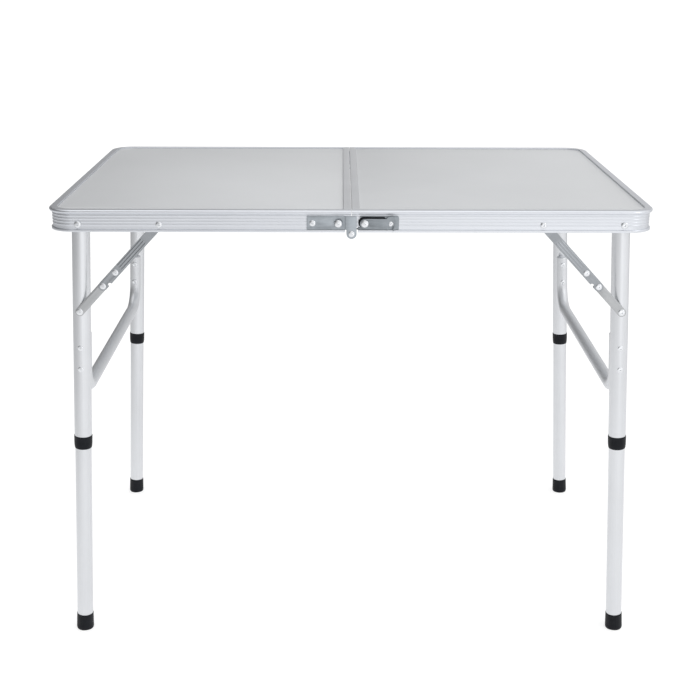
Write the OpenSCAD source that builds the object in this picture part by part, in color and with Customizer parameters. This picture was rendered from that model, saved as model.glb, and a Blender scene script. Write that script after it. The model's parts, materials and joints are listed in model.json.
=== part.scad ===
// Folding table with two hinged halves, folding leg frames, telescopic legs and locking braces.
// Millimetres, +Z up, origin on the floor at the middle of the table. Front is -Y.

/* [Top] */
// Length of the open top, left to right
table_w = 900; // [700:10:1200]
// Depth of the top, front to back
table_d = 600; // [450:10:700]
// Height of the top surface above the floor with the lower legs pulled out
table_h = 708; // [640:1:760]
// Outer corner radius of the edge frame
corner_r = 38; // [25:1:60]
// Height of the edge frame
apron_h = 33; // [30:0.5:40]
// Thickness of the panel held in the groove of the edge frame
panel_t = 4.2; // [3:0.1:4.2]
// Width of the metal strip seen round the panel
rim_w = 12; // [8:0.5:16]
// Gap between each half and the middle of the table
seam_gap = 0.3; // [0.2:0.1:1]

/* [Legs] */
// Outward lean of an open leg, in degrees
leg_splay = 3; // [0:0.5:5]
// Distance of each leg pivot from the middle, left to right
leg_pivot_x = 403; // [380:1:415]
// Depth of the leg pivots below the top surface
leg_pivot_drop = 22; // [21:0.5:23]
// Distance of each leg axis from the middle, front to back
leg_y = 271; // [260:0.5:272]
// Outer radius of the upper leg tube
upper_r = 13.5; // [11:0.25:13.5]
// Wall of the upper leg tube
upper_wall = 0.8; // [0.8:0.1:1.5]
// Running clearance between the tubes, on the radius
tube_gap = 0.05; // [0.01:0.01:0.1]
// Distance from the leg pivot to the top of the collar, along the leg
collar_s = 343; // [300:1:350]
// Height of the collar
collar_h = 21; // [16:1:30]
// Outer radius of the collar
collar_r = 14.2; // [14.2:0.1:15]
// Height of the foot cap
foot_h = 28; // [18:1:30]
// Outer radius of the foot cap
foot_r = 14.25; // [13:0.25:14.5]

/* [Braces and bars] */
// Distance from the leg pivot to the brace rivet on the leg
brace_a = 136.7; // [120:0.1:150]
// Distance from the leg pivot to the brace rivet on the edge frame
brace_b = 119.5; // [100:0.1:130]
// Width of the brace links
link_w = 14; // [10:0.5:16]
// Distance from the brace joint to the lock stud
stud_s = 29; // [22:1:36]
// Distance from the leg pivot to the top end of the spreader bar
spread_top_s = 183; // [170:1:190]
// Distance from the leg pivot to the cross tube of the spreader bar
spread_s = 278; // [265:1:300]
// Outer radius of the spreader tube
spread_r = 10; // [8:0.5:11]

/* [Hinge] */
// Depth of the middle hinge pins below the top surface
hinge_drop = 35; // [34:0.5:40]
// Distance of the inner hinge rivets from the middle
rivet_in = 19.5; // [17:0.5:24]
// Distance between the two rivets of a hinge plate
rivet_pitch = 38; // [34:0.5:44]
// Depth of the hinge rivets below the top surface
rivet_drop = 19; // [17:0.5:21]

/* [Hidden] */
$fn = 64;
half_w = table_w / 2;
half_d = table_d / 2;
web_out = 4;
web_t = 1.5;
rib_h = 0.4;
web_y = half_d - web_out;
web_in_y = web_y - web_t;
plate_y = web_y + rib_h;
plate_t = 1.8;
plate_top = table_h - 8;
plate_low = table_h - 28.6;
ear_y = plate_y + 0.3;
lever_y = plate_y + plate_t + 2.1;
lever_t = 1.8;
lever_reach = 2 * rivet_in;
hook_r = 11.2;
rim_t = 1.8;
skin_t = 0.3;
lip_t = rim_t + skin_t;
pivot_z = table_h - leg_pivot_drop;
pin_z = table_h - hinge_drop;
rivet_z = table_h - rivet_drop;
upper_in_r = upper_r - upper_wall;
lower_r = upper_in_r - tube_gap;
lower_wall = 1.1;
leg_len = pivot_z / cos(leg_splay);
collar_end = collar_s + collar_h;
upper_end = collar_s + 12;
lower_top = 304;
foot_top = leg_len - foot_h;
lower_end = leg_len - 5;
brace_open = sqrt(brace_a * brace_a + brace_b * brace_b
    - 2 * brace_a * brace_b * cos(90 + leg_splay));
link_u = (brace_open + brace_a - brace_b) / 2;
link_l = (brace_open - brace_a + brace_b) / 2;
brace_x = leg_pivot_x - brace_b;
foot_ax = leg_pivot_x + brace_a * sin(leg_splay);
foot_az = pivot_z - brace_a * cos(leg_splay);
brace_ang = atan2(pivot_z - foot_az, foot_ax - brace_x);
link_y = leg_y + upper_r + 1.5;
link_t = 1.8;
top_link_y = web_in_y - 2.1;
spread_y = leg_y - upper_r - spread_r - 0.2;
spread_bend = 42;
spread_rivet_1 = 195.5;
spread_rivet_2 = 230;
latch_y = 165;
latch_x = half_w - web_out + rib_h;
latch_len = 37;
handle_x = half_w + 2.4;
handle_span = 52;

alu = [0.80, 0.81, 0.82];
white = [0.87, 0.87, 0.86];
zinc = [0.58, 0.59, 0.60];
black = [0.10, 0.10, 0.11];

// ---- placing ----

// Shapes are drawn for the back right corner and mirrored to the others.
module left() {
    mirror([1, 0, 0])
        children();
}

module front() {
    mirror([0, 1, 0])
        children();
}

module both_y() {
    children();
    front() children();
}

// Leg coordinates: the pivot is the origin and the leg runs down -Z.
module on_leg() {
    translate([leg_pivot_x, leg_y, pivot_z])
        rotate([0, -leg_splay, 0])
            children();
}

module leg_tube(r, wall, s0, s1) {
    translate([0, 0, -s1])
        difference() {
            cylinder(r = r, h = s1 - s0);
            translate([0, 0, -1])
                cylinder(r = r - wall, h = s1 - s0 + 2);
        }
}

// A round bar along Y from y0 to y1.
module y_bar(r, y0, y1) {
    translate([0, y1, 0])
        rotate([90, 0, 0])
            cylinder(r = r, h = y1 - y0);
}

// A round bar along X from x0 to x1.
module x_bar(r, x0, x1) {
    translate([x0, 0, 0])
        rotate([0, 90, 0])
            cylinder(r = r, h = x1 - x0);
}

// A flat shape drawn in x and z, made from y0 to y1.
module y_plate(y0, y1) {
    translate([0, y1, 0])
        rotate([90, 0, 0])
            linear_extrude(height = y1 - y0)
                children();
}

// ---- top ----

function rib(v) = [[-web_out, v + 0.8], [-web_out + rib_h, v + 0.5],
    [-web_out + rib_h, v - 0.5], [-web_out, v - 0.8]];

// Section of the edge frame: x runs outward to 0 at the bead, y down from the top surface.
function rail_points() = concat(
    [[-rim_w + 0.4, 0], [-3.2, 0], [-1.3, -0.5], [-0.3, -1.5], [0, -2.8], [0, -3.6],
        [-0.4, -4.8], [-1.4, -5.7], [-2.6, -6], [-web_out, -6]],
    rib(-9), rib(-13.5), rib(-18), rib(-22.5),
    [[-web_out, -apron_h + 4.2], [-2.4, -apron_h + 3.8], [-2, -apron_h + 3.2],
        [-2, -apron_h + 0.5], [-2.5, -apron_h], [-web_out - web_t, -apron_h],
        [-web_out - web_t, -rim_t - 5.6], [-rim_w + 1, -rim_t - 5.6],
        [-rim_w + 1, -rim_t - panel_t], [-web_out - web_t, -rim_t - panel_t],
        [-web_out - web_t, -lip_t], [-rim_w, -lip_t], [-rim_w, -0.4]]);

module rail_section(shift) {
    translate([shift, 0])
        polygon(rail_points());
}

module rail_sweep() {
    both_y()
        translate([seam_gap, 0, table_h])
            rotate([90, 0, 90])
                linear_extrude(height = half_w - corner_r - seam_gap)
                    rail_section(half_d);
    translate([0, half_d - corner_r, table_h])
        rotate([90, 0, 0])
            linear_extrude(height = table_d - 2 * corner_r)
                rail_section(half_w);
    both_y()
        translate([half_w - corner_r, half_d - corner_r, table_h])
            rotate_extrude(angle = 90)
                rail_section(corner_r);
}

module edge_frame() {
    color(alu)
        difference() {
            rail_sweep();
            both_y() {
                translate([leg_pivot_x, 0, pivot_z])
                    y_bar(4, web_in_y - 2, web_y + 2);
                translate([brace_x, 0, pivot_z])
                    y_bar(2.5, web_in_y - 2, web_y + 2);
                translate([rivet_in, 0, rivet_z])
                    y_bar(3, web_in_y - 2, web_y + 2);
                translate([rivet_in + rivet_pitch, 0, rivet_z])
                    y_bar(2.5, web_in_y - 2, web_y + 2);
                translate([-1, web_in_y - 1, table_h - apron_h - 1])
                    cube([10.4, 7, 8.5]);
            }
        }
}

// Outline of half the panel, from x0 to the given inset from the outer edge.
module panel_outline(x0, inset) {
    x1 = half_w - inset;
    y1 = half_d - inset;
    r = corner_r - inset;
    translate([x0, -y1 + r])
        square([x1 - x0, 2 * y1 - 2 * r]);
    translate([x0, -y1])
        square([x1 - r - x0, 2 * y1]);
    translate([x1 - r, y1 - r])
        circle(r = r);
    translate([x1 - r, -y1 + r])
        circle(r = r);
}

// The edges are a little thinner, where the lips of the frame hold them.
module panel() {
    face_inset = rim_w + 0.2;
    color(white)
        union() {
            translate([0, 0, table_h - rim_t - panel_t])
                linear_extrude(height = panel_t - skin_t)
                    panel_outline(3, web_out + web_t + 0.5);
            translate([0, 0, table_h - rim_t - panel_t / 2])
                linear_extrude(height = panel_t / 2)
                    panel_outline(face_inset, face_inset);
        }
}

module seam_rail() {
    y1 = half_d - rim_w;
    color(alu)
        translate([0, y1, table_h])
            rotate([90, 0, 0])
                linear_extrude(height = 2 * y1)
                    polygon([[seam_gap, -0.5], [seam_gap + 0.5, 0], [rim_w - 0.4, 0],
                        [rim_w, -0.4], [rim_w, -lip_t], [2.2, -lip_t],
                        [2.2, -rim_t - panel_t], [rim_w - 1, -rim_t - panel_t],
                        [rim_w - 1, -rim_t - panel_t - 1.2], [2.2, -rim_t - panel_t - 1.2],
                        [2.2, -8], [seam_gap, -8]]);
}

module seam_brackets() {
    color(zinc)
        both_y()
            difference() {
                union() {
                    translate([10, web_in_y - 1.6, table_h - 28])
                        cube([62, 1.6, 19.4]);
                    translate([10, web_in_y - 7, table_h - 8.8])
                        cube([62, 7, 1.4]);
                }
                translate([rivet_in, 0, rivet_z])
                    y_bar(3, web_in_y - 3, web_y);
                translate([rivet_in + rivet_pitch, 0, rivet_z])
                    y_bar(2.5, web_in_y - 3, web_y);
            }
}

// ---- middle hinge ----

module plate_holes(r_in) {
    translate([rivet_in, 0, rivet_z])
        y_bar(r_in, plate_y - 1, plate_y + plate_t + 1);
    translate([rivet_in + rivet_pitch, 0, rivet_z])
        y_bar(2.5, plate_y - 1, plate_y + plate_t + 1);
}

// The plate reaches from x0 to the margin beyond its outer rivet.
module plate_outline(x0, margin) {
    translate([x0, plate_low])
        square([rivet_in + rivet_pitch + margin - x0, plate_top - plate_low]);
}

// The plate with the ear in front; the ear hangs over the seam.
module hinge_plate_outer() {
    difference() {
        union() {
            y_plate(plate_y, plate_y + plate_t)
                plate_outline(7, 8.5);
            y_plate(ear_y, ear_y + plate_t)
                union() {
                    translate([-7.5, pin_z])
                        square([15, hinge_drop - 8.5]);
                    translate([0, pin_z])
                        circle(r = 7.5);
                }
        }
        plate_holes(3);
        translate([0, 0, pin_z])
            y_bar(2.5, ear_y - 1, ear_y + plate_t + 1);
    }
}

// The plate with the ear behind, stepped in below the edge frame.
module hinge_plate_inner() {
    difference() {
        union() {
            y_plate(plate_y, plate_y + plate_t) {
                plate_outline(10, 12.2);
                translate([8, plate_low])
                    square([2.5, 6.6]);
            }
            y_plate(web_in_y - 0.3, plate_y + plate_t)
                translate([8, pin_z - 3])
                    square([1.3, 12]);
            y_plate(web_in_y - 0.3, web_in_y + 1.5)
                union() {
                    translate([0, pin_z - 3])
                        square([8.6, 7]);
                    translate([0, pin_z])
                        circle(r = 7.5);
                }
        }
        plate_holes(3);
        translate([0, 0, pin_z])
            y_bar(2.55, web_in_y - 2, ear_y);
    }
}

module hinge_pin() {
    translate([0, 0, pin_z]) {
        y_bar(2.5, web_in_y - 1, ear_y + plate_t + 0.2);
        y_bar(4.5, ear_y + plate_t, ear_y + plate_t + 0.8);
        y_bar(4, web_in_y - 1.8, web_in_y - 0.6);
    }
}

module flat_rivet(x) {
    translate([x, 0, rivet_z]) {
        y_bar(2.5, web_in_y - 1.8, plate_y + plate_t + 0.2);
        y_bar(4.6, plate_y + plate_t, plate_y + plate_t + 1);
        y_bar(4, web_in_y - 2.8, web_in_y - 1.6);
    }
}

// Taller rivet: its neck carries the lever or takes the hook.
module tall_rivet(x, neck_r) {
    translate([x, 0, rivet_z]) {
        y_bar(3, web_in_y - 1.8, plate_y + plate_t + 0.2);
        y_bar(5, plate_y + plate_t, lever_y - 0.3);
        y_bar(neck_r, lever_y - 0.4, lever_y + lever_t + 0.4);
        y_bar(5.4, lever_y + lever_t + 0.3, lever_y + lever_t + 1.3);
        y_bar(4.4, web_in_y - 2.8, web_in_y - 1.6);
    }
}

// The end of the lever is taller than its bar, with a straight back edge.
module hook_end() {
    intersection() {
        circle(r = hook_r);
        translate([-6.8, -hook_r])
            square([11.4, 2 * hook_r]);
    }
}

// The lever turns on the inner rivet; its hook has the mouth on the lower edge.
module lock_lever() {
    color(zinc)
        difference() {
            y_plate(lever_y, lever_y + lever_t)
                union() {
                    translate([rivet_in, rivet_z])
                        circle(r = 7.3);
                    translate([rivet_in + lever_reach, rivet_z])
                        hook_end();
                    translate([rivet_in, rivet_z - 7.3])
                        square([lever_reach, 14.6]);
                }
            translate([rivet_in, 0, rivet_z])
                y_bar(3.05, lever_y - 1, lever_y + lever_t + 1);
            translate([rivet_in + lever_reach, 0, rivet_z]) {
                y_bar(3.5, lever_y - 1, lever_y + lever_t + 1);
                y_plate(lever_y - 1, lever_y + lever_t + 1)
                    polygon([[-3.5, 0], [-5.2, -12], [2.2, -12], [3.4, -4], [3.5, 0]]);
            }
        }
}

// Flat plastic pad between the plate and the lever, pierced for the shoulder of the rivet.
module lever_pad() {
    pad_r = 8.35;
    pad_top = table_h - 9.3;
    difference() {
        y_plate(plate_y + plate_t, lever_y - 0.3)
            union() {
                translate([9.9 + pad_r, pad_top - pad_r])
                    circle(r = pad_r);
                translate([9.9 + pad_r, pad_top - 2 * pad_r])
                    square([31, 2 * pad_r]);
            }
        translate([rivet_in, 0, rivet_z])
            y_bar(5.2, plate_y, lever_y);
    }
}

// ---- legs ----

module leg_pivot() {
    translate([leg_pivot_x, 0, pivot_z]) {
        y_bar(4, leg_y - upper_r - 1, plate_y + 1);
        y_bar(6.5, web_y + rib_h, web_y + rib_h + 1.4);
        y_bar(6.5, leg_y + upper_r + 0.4, web_in_y);
        y_bar(6, leg_y - upper_r - 1.8, leg_y - upper_r - 0.6);
    }
}

module upper_tube() {
    color(alu)
        on_leg()
            difference() {
                leg_tube(upper_r, upper_wall, -6.5, upper_end);
                y_bar(4.05, -20, 20);
                translate([0, 0, -spread_rivet_1])
                    y_bar(2.5, -20, 20);
                translate([0, 0, -spread_rivet_2])
                    y_bar(2.5, -20, 20);
            }
}

module tube_plug() {
    on_leg() {
        translate([0, 0, 6.5])
            cylinder(r = upper_r, h = 1.5);
        translate([0, 0, 4.3])
            cylinder(r = upper_in_r, h = 2.4);
    }
}

module spread_plug() {
    on_leg()
        translate([0, spread_y - leg_y, -spread_top_s]) {
            cylinder(r = spread_r, h = 1.5);
            translate([0, 0, -6])
                cylinder(r = spread_r - 1.2, h = 6.2);
        }
}

// A ring over the end of the upper tube, with a tapered lower end.
module collar() {
    taper_h = 6;
    color(black)
        on_leg()
            difference() {
                union() {
                    translate([0, 0, -collar_end + taper_h])
                        cylinder(r1 = collar_r - 0.2, r2 = collar_r, h = collar_h - taper_h);
                    translate([0, 0, -collar_end])
                        cylinder(r1 = collar_r - 0.8, r2 = collar_r - 0.2, h = taper_h);
                }
                translate([0, 0, -upper_end])
                    cylinder(r = upper_r, h = 20);
                translate([0, 0, -collar_end - 1])
                    cylinder(r = upper_in_r, h = 30);
            }
}

module lower_tube() {
    color(alu)
        on_leg()
            leg_tube(lower_r, lower_wall, lower_top, lower_end);
}

module foot_cap() {
    color(black)
        intersection() {
            on_leg()
                difference() {
                    translate([0, 0, -leg_len - 3])
                        cylinder(r1 = foot_r - 0.3, r2 = foot_r - 0.9, h = foot_h + 3);
                    translate([0, 0, -lower_end])
                        cylinder(r = lower_r, h = foot_h + 5);
                }
            cube([table_w, table_d, 200]);
        }
}

module spreader_path(r) {
    for (side = [-1, 1]) {
        translate([0, side * spread_y, -spread_s + spread_bend])
            cylinder(r = r, h = spread_s - spread_bend - spread_top_s);
        translate([0, side * (spread_y - spread_bend), -spread_s + spread_bend])
            rotate([0, 90, 0])
                rotate([0, 0, side > 0 ? 0 : -90])
                    rotate_extrude(angle = 90)
                        translate([spread_bend, 0])
                            circle(r = r);
    }
    translate([0, 0, -spread_s])
        y_bar(r, -spread_y + spread_bend, spread_y - spread_bend);
}

module spreader() {
    color(alu)
        translate([0, -leg_y, 0])
            on_leg()
                difference() {
                    spreader_path(spread_r);
                    spreader_path(spread_r - 1.2);
                    for (s = [spread_rivet_1, spread_rivet_2])
                        translate([0, 0, -s])
                            y_bar(2.5, -300, 300);
                }
}

// Short rivets: each stays in a tube wall, so that the lower leg slides past.
module spreader_rivets() {
    inner = upper_in_r + 0.1;
    far = spread_y - leg_y - spread_r;
    color(zinc)
        both_y()
            on_leg()
                for (s = [spread_rivet_1, spread_rivet_2])
                    translate([0, 0, -s]) {
                        y_bar(2.5, inner, upper_r + 0.3);
                        y_bar(4.5, upper_r, upper_r + 1.1);
                        y_bar(2.5, far - 0.3, -inner);
                        y_bar(4.5, far - 1.3, far);
                    }
}

// ---- braces ----

// Brace coordinates: the rivet on the edge frame is the origin and the open brace runs along +X.
module on_brace() {
    translate([brace_x, 0, pivot_z])
        rotate([0, brace_ang, 0])
            children();
}

module bar_outline(x0, x1, w) {
    translate([x0, -w / 2])
        square([x1 - x0, w]);
    translate([x0, 0])
        circle(r = w / 2);
    translate([x1, 0])
        circle(r = w / 2);
}

module upper_link() {
    tail = link_u + stud_s;
    y0 = link_y + link_t + 0.4;
    color(alu)
        on_brace()
            difference() {
                union() {
                    y_plate(y0, y0 + link_t)
                        bar_outline(31, tail, link_w);
                    for (v = [-4.2, 0, 4.2])
                        translate([31, y0 + link_t - 0.1, v - 0.9])
                            cube([link_u - 44, 0.6, 1.8]);
                    translate([28, y0, -link_w / 2])
                        cube([3.5, top_link_y + link_t - y0, link_w]);
                    y_plate(top_link_y, top_link_y + link_t)
                        bar_outline(0, 28, link_w);
                }
                y_bar(2.55, top_link_y - 1, top_link_y + link_t + 1);
                translate([link_u, 0, 0])
                    y_bar(3, y0 - 1, y0 + link_t + 1);
                translate([tail, 0, 0])
                    y_bar(3, y0 - 1, y0 + link_t + 1);
            }
}

module brace_pins() {
    y0 = link_y + link_t + 0.4;
    color(zinc)
        on_brace()
            for (x = [link_u, link_u + stud_s])
                translate([x, 0, 0]) {
                    y_bar(3, link_y - 0.6, y0 + link_t + 0.1);
                    y_bar(4.8, y0 + link_t, y0 + link_t + 1);
                    if (x == link_u)
                        y_bar(4, link_y - 1.2, link_y - 0.3);
                }
}

module lower_link() {
    color(alu)
        on_brace()
            translate([link_u, 0, 0]) {
                difference() {
                    y_plate(link_y, link_y + link_t)
                        bar_outline(0, link_l, link_w - 0.6);
                    y_bar(3.05, link_y - 1, link_y + link_t + 1);
                    translate([stud_s, 0, 0])
                        y_bar(3.4, link_y - 1, link_y + link_t + 1);
                    translate([stud_s - 4.8, link_y - 1, -12])
                        cube([8.2, link_t + 2, 12]);
                }
                translate([link_l, 0, 0]) {
                    y_bar(4.8, link_y + link_t - 0.1, link_y + link_t + 1);
                    y_bar(3, leg_y + upper_r + 0.3, link_y + 0.1);
                }
            }
}

module brace_rivet() {
    translate([brace_x, 0, pivot_z]) {
        y_bar(2.5, top_link_y - 0.6, plate_y + 0.2);
        y_bar(4.8, plate_y, plate_y + 1.1);
        y_bar(4.4, top_link_y - 1.3, top_link_y - 0.3);
    }
}

// ---- ends ----

module handle_mounts_solid() {
    z0 = table_h - 21;
    for (side = [-1, 1])
        difference() {
            translate([latch_x, side * (handle_span + 3.5) - 3.5, z0])
                cube([10, 7, 14]);
            translate([handle_x, side * (handle_span + 3.5), z0 + 7])
                y_bar(2.5, -5, 5);
        }
}

module carry_handle_solid() {
    z0 = table_h - 14;
    drop = 27;
    translate([handle_x, 0, z0]) {
        for (side = [-1, 1]) {
            translate([0, side * (handle_span - 3.4), 0])
                y_bar(3.6, -3, 3);
            translate([-3.6, side * (handle_span - 3.4) - 3, -drop])
                cube([7.2, 6, drop]);
            translate([0, side * (handle_span + 2), 0])
                y_bar(2.45, -4, 4);
        }
        translate([0, 0, -drop])
            y_bar(5.4, -handle_span + 0.4, handle_span - 0.4);
    }
}

module latch_hook() {
    z0 = table_h - 15;
    color(zinc)
        translate([latch_x + 1.9, latch_y, z0])
            rotate([90, 0, 90])
                linear_extrude(height = 1.8)
                    difference() {
                        union() {
                            circle(r = 6.5);
                            translate([0, -5])
                                square([latch_len, 10]);
                            translate([latch_len, 0])
                                circle(r = 6.5);
                        }
                        circle(r = 3.05);
                        translate([latch_len, 0])
                            circle(r = 3.2);
                        translate([latch_len - 3.2, -9])
                            square([6.4, 9]);
                    }
}

module end_stud(y, z) {
    translate([0, y, z]) {
        x_bar(5, latch_x, latch_x + 1.6);
        x_bar(3, latch_x + 1.5, latch_x + 4.1);
        x_bar(5.6, latch_x + 4, latch_x + 5.5);
    }
}

module latch_pivots_solid() {
    for (y = [-latch_y, latch_y])
        translate([0, y, table_h - 15]) {
            x_bar(5, latch_x, latch_x + 1.6);
            x_bar(3, latch_x + 1.5, latch_x + 4.1);
            x_bar(6, latch_x + 4, latch_x + 11.4);
        }
}

// ---- nodes ----

module edge_frame_left() { left() edge_frame(); }
module edge_frame_right() { edge_frame(); }
module panel_left() { left() panel(); }
module panel_right() { panel(); }
module seam_rail_left() { left() seam_rail(); }
module seam_rail_right() { seam_rail(); }
module seam_brackets_left() { left() seam_brackets(); }
module seam_brackets_right() { seam_brackets(); }
module hinge_plates_left() { color(zinc) both_y() left() hinge_plate_outer(); }
module hinge_plates_right() { color(zinc) both_y() hinge_plate_inner(); }
module hinge_pins() { color(zinc) both_y() hinge_pin(); }

module hinge_rivets_left() {
    color(zinc)
        both_y()
            left() {
                tall_rivet(rivet_in, 3.1);
                flat_rivet(rivet_in + rivet_pitch);
            }
}

module hinge_rivets_right() {
    color(zinc)
        both_y() {
            tall_rivet(rivet_in, 3);
            flat_rivet(rivet_in + rivet_pitch);
        }
}

module lever_pads() { color(black) both_y() lever_pad(); }
module lock_lever_front() { front() lock_lever(); }
module lock_lever_back() { lock_lever(); }
module leg_pivots_left() { color(zinc) both_y() left() leg_pivot(); }
module leg_pivots_right() { color(zinc) both_y() leg_pivot(); }
module brace_rivets_left() { color(zinc) both_y() left() brace_rivet(); }
module brace_rivets_right() { color(zinc) both_y() brace_rivet(); }
module upper_tube_fl() { front() left() upper_tube(); }
module upper_tube_bl() { left() upper_tube(); }
module upper_tube_fr() { front() upper_tube(); }
module upper_tube_br() { upper_tube(); }

module tube_plugs_right() {
    color(black)
        both_y() {
            tube_plug();
            spread_plug();
        }
}

module tube_plugs_left() { left() tube_plugs_right(); }
module collar_fl() { front() left() collar(); }
module collar_bl() { left() collar(); }
module collar_fr() { front() collar(); }
module collar_br() { collar(); }
module lower_tube_fl() { front() left() lower_tube(); }
module lower_tube_bl() { left() lower_tube(); }
module lower_tube_fr() { front() lower_tube(); }
module lower_tube_br() { lower_tube(); }
module foot_cap_fl() { front() left() foot_cap(); }
module foot_cap_bl() { left() foot_cap(); }
module foot_cap_fr() { front() foot_cap(); }
module foot_cap_br() { foot_cap(); }
module spreader_left() { left() spreader(); }
module spreader_right() { spreader(); }
module spreader_rivets_left() { left() spreader_rivets(); }
module spreader_rivets_right() { spreader_rivets(); }
module upper_link_fl() { front() left() upper_link(); }
module upper_link_bl() { left() upper_link(); }
module upper_link_fr() { front() upper_link(); }
module upper_link_br() { upper_link(); }
module lower_link_fl() { front() left() lower_link(); }
module lower_link_bl() { left() lower_link(); }
module lower_link_fr() { front() lower_link(); }
module lower_link_br() { lower_link(); }
module brace_pins_fl() { front() left() brace_pins(); }
module brace_pins_bl() { left() brace_pins(); }
module brace_pins_fr() { front() brace_pins(); }
module brace_pins_br() { brace_pins(); }
module handle_mounts() { color(black) left() handle_mounts_solid(); }
module carry_handle() { color(black) left() carry_handle_solid(); }
module latch_hook_front() { front() latch_hook(); }
module latch_hook_back() { latch_hook(); }
module latch_pivots() { color(zinc) latch_pivots_solid(); }

module latch_studs() {
    color(zinc)
        left()
            for (y = [-latch_y, latch_y])
                end_stud(y, table_h - 18);
}

edge_frame_left();
edge_frame_right();
panel_left();
panel_right();
seam_rail_left();
seam_rail_right();
seam_brackets_left();
seam_brackets_right();
hinge_plates_left();
hinge_plates_right();
hinge_pins();
hinge_rivets_left();
hinge_rivets_right();
lever_pads();
lock_lever_front();
lock_lever_back();
leg_pivots_left();
leg_pivots_right();
brace_rivets_left();
brace_rivets_right();
upper_tube_fl();
upper_tube_bl();
upper_tube_fr();
upper_tube_br();
tube_plugs_left();
tube_plugs_right();
collar_fl();
collar_bl();
collar_fr();
collar_br();
lower_tube_fl();
lower_tube_bl();
lower_tube_fr();
lower_tube_br();
foot_cap_fl();
foot_cap_bl();
foot_cap_fr();
foot_cap_br();
spreader_left();
spreader_right();
spreader_rivets_left();
spreader_rivets_right();
upper_link_fl();
upper_link_bl();
upper_link_fr();
upper_link_br();
lower_link_fl();
lower_link_bl();
lower_link_fr();
lower_link_br();
brace_pins_fl();
brace_pins_bl();
brace_pins_fr();
brace_pins_br();
handle_mounts();
carry_handle();
latch_hook_front();
latch_hook_back();
latch_pivots();
latch_studs();
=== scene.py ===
"""Looks of the folding table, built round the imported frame. Metres, +Z up, the front is -Y."""

import json
import math

import bmesh
import bpy
from mathutils import Matrix, Vector


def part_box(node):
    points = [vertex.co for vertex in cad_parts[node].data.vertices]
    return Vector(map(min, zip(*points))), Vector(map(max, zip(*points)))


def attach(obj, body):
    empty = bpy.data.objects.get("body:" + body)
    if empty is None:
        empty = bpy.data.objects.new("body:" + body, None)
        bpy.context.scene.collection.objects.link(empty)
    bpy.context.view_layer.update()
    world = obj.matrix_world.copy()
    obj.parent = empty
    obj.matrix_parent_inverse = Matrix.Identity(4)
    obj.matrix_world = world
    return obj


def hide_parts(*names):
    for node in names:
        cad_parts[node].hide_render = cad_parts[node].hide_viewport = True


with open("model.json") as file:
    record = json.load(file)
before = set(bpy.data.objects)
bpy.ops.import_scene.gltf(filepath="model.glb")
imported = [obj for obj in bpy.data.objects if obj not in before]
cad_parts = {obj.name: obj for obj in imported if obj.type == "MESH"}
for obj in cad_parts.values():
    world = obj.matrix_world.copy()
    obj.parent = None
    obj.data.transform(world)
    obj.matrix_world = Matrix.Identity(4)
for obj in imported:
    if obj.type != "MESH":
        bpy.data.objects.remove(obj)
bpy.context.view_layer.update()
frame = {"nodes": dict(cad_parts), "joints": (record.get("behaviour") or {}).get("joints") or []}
nodes = frame["nodes"]
joints = {joint["name"]: joint for joint in frame["joints"]}

MM = 0.001
FRONT_BACK = {"front": -1, "back": 1}
LEFT_RIGHT = {"left": -1, "right": 1}
LEFT, RIGHT = ([(x, y) for y in FRONT_BACK.values()] for x in LEFT_RIGHT.values())
QUARTERS = {"left": LEFT, "right": RIGHT}
CORNERS = {"fl": ("left", (-1, -1)), "bl": ("left", (-1, 1)),
           "fr": ("right", (1, -1)), "br": ("right", (1, 1))}

# ---- measures of the back right quarter, in millimetres, from the frame where it has them ----


def joint_mm(name):
    return Vector(joints[name]["pos_m"]) / MM


def box_mm(node):
    return [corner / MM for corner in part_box(node)]


def radius_mm(node):
    """Radius of a round part that leans along X only."""
    low, high = box_mm(node)
    return (high.y - low.y) / 2


LEG_PIVOT = joint_mm("right_leg_fold")
LEG_UP = Vector(joints["lower_leg_slide_br"]["axis"])
LEG_LEAN = math.atan2(-LEG_UP.x, LEG_UP.z)
BRACE_TOP = joint_mm("upper_brace_fold_br")
BRACE_MID = joint_mm("lower_brace_fold_br")
LEVER_PIVOT = joint_mm("lock_lever_turn_back")
HANDLE_PIVOT = joint_mm("handle_swing")
LATCH_PIVOT = joint_mm("latch_turn_back")
FOLD_PIN = joint_mm("centre_fold")

SHEET = 1.8
TOP_Z = box_mm("edge_frame_right")[1].z
LEG_Y = sum(box_mm("foot_cap_br"), Vector()).y / 2
PLATE_FACE = box_mm("hinge_plates_right")[1].y
WEB_OUT = PLATE_FACE - SHEET
WEB_IN = box_mm("seam_brackets_right")[1].y
PLATE_TOP = TOP_Z - 8
PLATE_LOW = TOP_Z - 28.6
RIVET_Z = LEVER_PIVOT.z
RIVET_IN = LEVER_PIVOT.x
RIVET_OUT = box_mm("hinge_rivets_right")[1].x - 4.6
LEVER_IN, LEVER_OUT = (corner.y for corner in box_mm("lock_lever_back"))
EAR_STEP = 0.8
TONGUE_STEP = 2.2
SHOULDER = LEVER_IN - 0.3 - PLATE_FACE
HINGE_GRIP = PLATE_FACE - WEB_IN + 1.7

RAIL_CORNER_R = 38
CUT_X = 9.4
CUT_Z = -25.5

UPPER_R = radius_mm("upper_tube_br")
LOWER_R = radius_mm("lower_tube_br")
COLLAR_R = radius_mm("collar_br")
FOOT_R = radius_mm("foot_cap_br")
TUBE_WALL = 0.8
COLLAR_S = 343
FOOT_H = 28
LEG_LEN = LEG_PIVOT.z / math.cos(LEG_LEAN)
SPREAD_RIVETS = (195.5, 230)
SPREAD_R = 10
SPREAD_TOP = 183
SPREAD_FACE = LEG_Y - UPPER_R - 0.2 - 2 * SPREAD_R

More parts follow.
